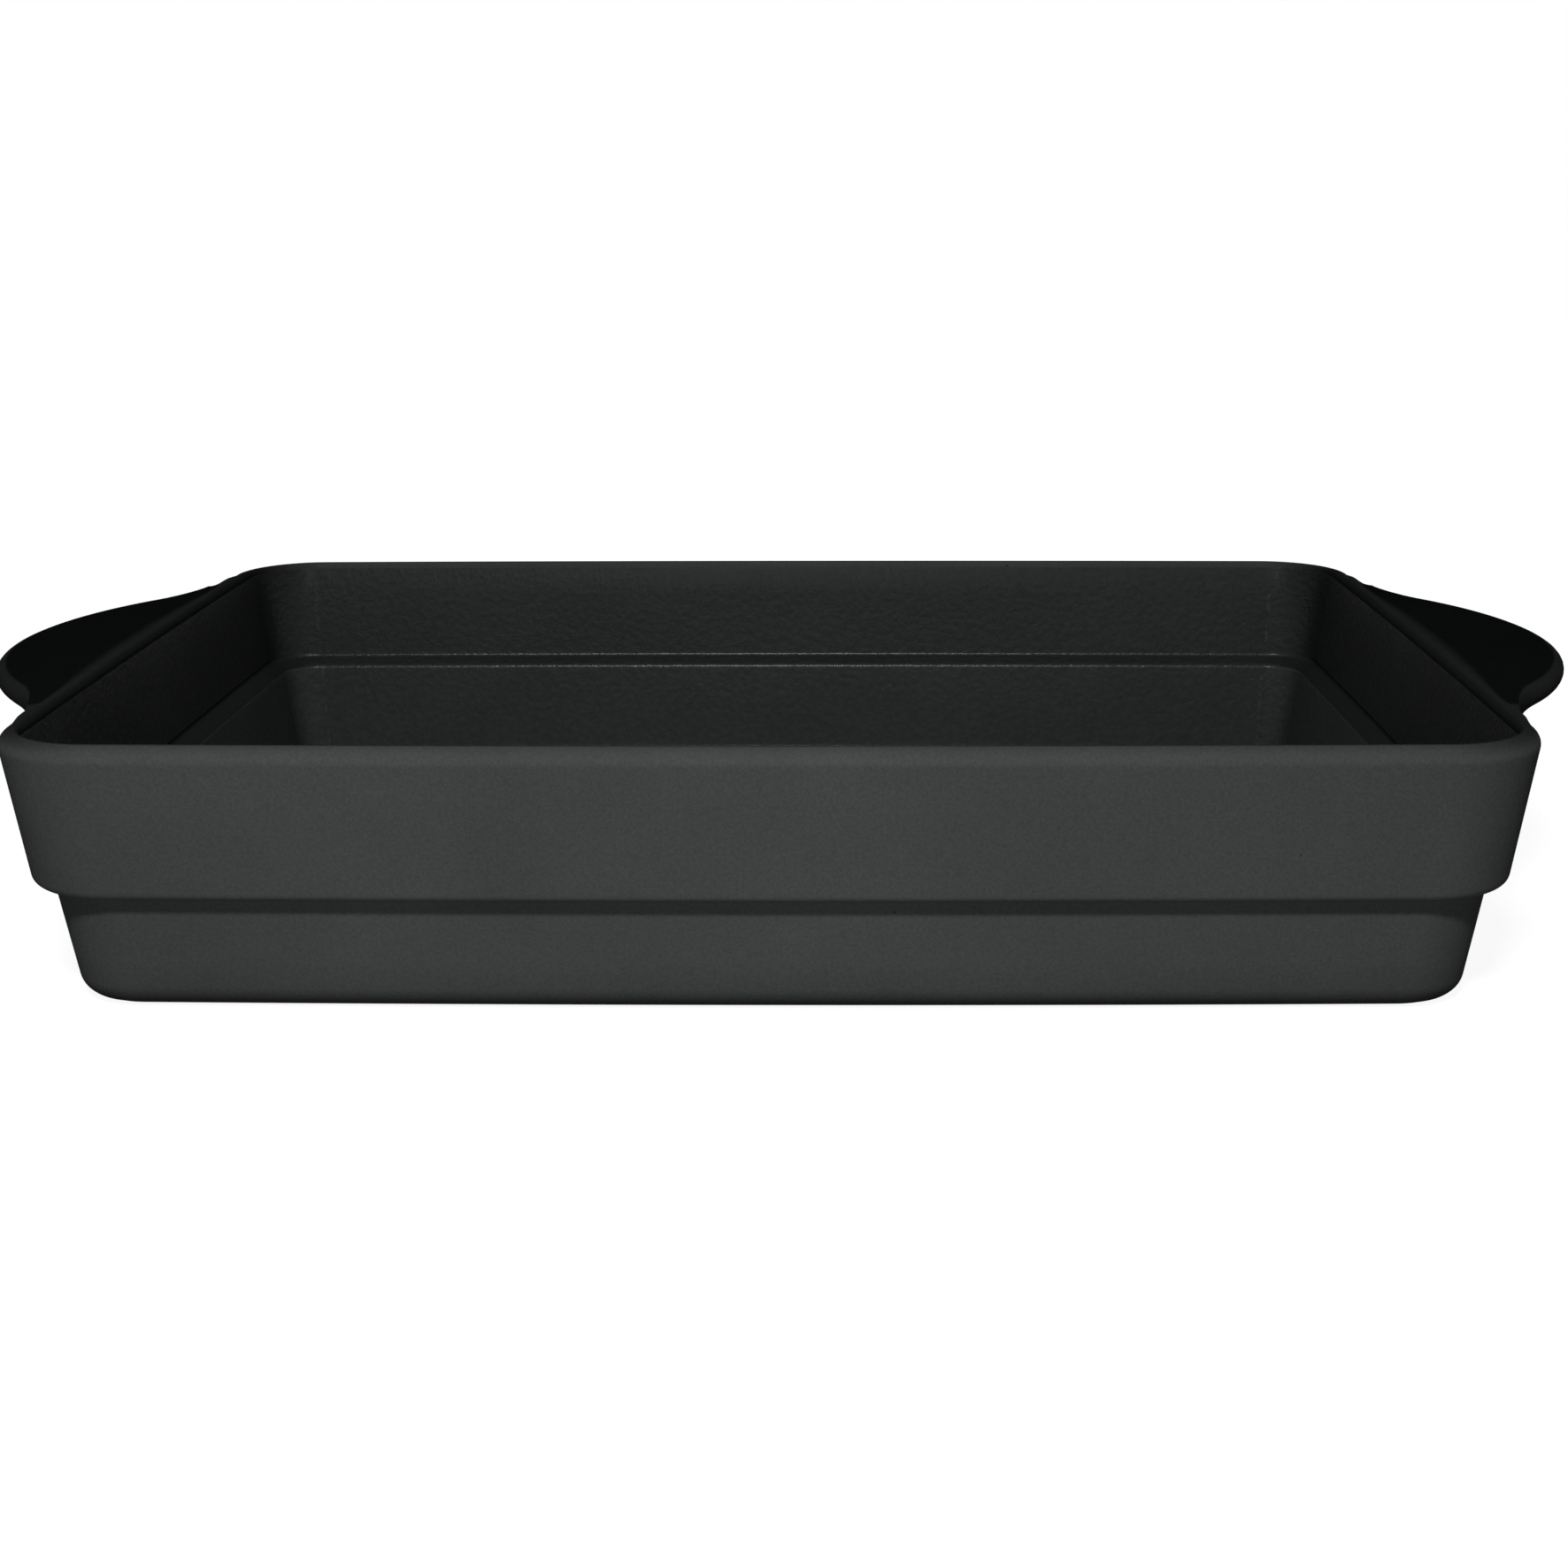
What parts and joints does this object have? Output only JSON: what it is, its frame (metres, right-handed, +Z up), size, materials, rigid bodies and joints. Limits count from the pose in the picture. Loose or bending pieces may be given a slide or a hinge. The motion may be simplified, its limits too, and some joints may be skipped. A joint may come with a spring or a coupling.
{
  "type": "rectangular baking dish",
  "caption": "Open rectangular stoneware terrine or baking dish with a stepped, drafted wall, a rounded rim, a half-moon lug handle on each short side and a bare foot ring to stand on.",
  "frame": {"origin": "middle of the foot, on the surface that the dish stands on", "axes": "+X along the dish towards the right handle, +Y across it away from the picture's viewer, +Z up"},
  "size_m": [0.4, 0.25, 0.063],
  "materials": {
    "stoneware": "bare fired stoneware, fine and slightly gritty, seen only on the foot ring",
    "luting_slip": "fired clay slip, smoothed with a wet sponge, all under the glaze",
    "charcoal_glaze": "matt charcoal outside with a fine grain, satin and pebbled inside, paler where it thins on edges"
  },
  "bodies": {
    "root": {"dish_body": "stoneware", "left_handle": "stoneware", "right_handle": "stoneware", "left_handle_slip": "luting_slip", "right_handle_slip": "luting_slip", "glaze_coat": "charcoal_glaze", "base_glaze": "charcoal_glaze"}
  },
  "joints": []
}
